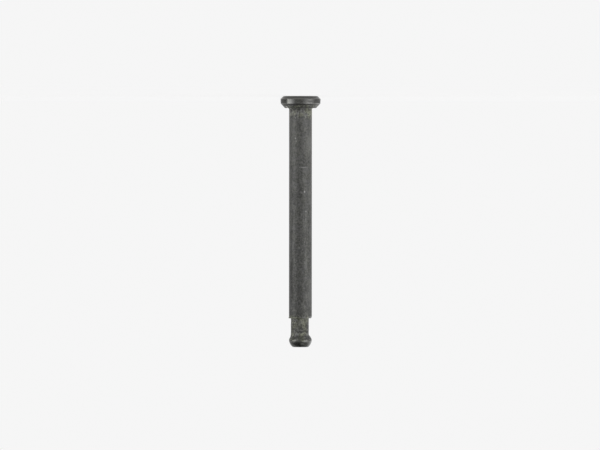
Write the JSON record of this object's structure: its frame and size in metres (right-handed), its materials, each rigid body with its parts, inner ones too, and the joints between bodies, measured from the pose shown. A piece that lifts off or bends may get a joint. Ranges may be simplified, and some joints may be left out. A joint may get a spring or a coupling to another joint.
{
  "type": "pivot pin",
  "caption": "Headed pivot pin with a thin bevelled disc head, a plain cylindrical shank and a narrow neck before a rounded bead end that keeps a spring clip on.",
  "frame": {"origin": "centre of the head's flat face, which the pin stands on", "axes": "+Z along the pin's axis from the head to the bead end; X and Y are any two square directions, because the pin is round"},
  "size_m": [0.005, 0.0048, 0.0307],
  "materials": {
    "dark_steel": "turned steel with a thin dark grey oxide coat, satin, mottled, with an olive tint beside the head and on the neck"
  },
  "bodies": {
    "root": {"pivot_pin": "dark_steel"}
  },
  "joints": []
}
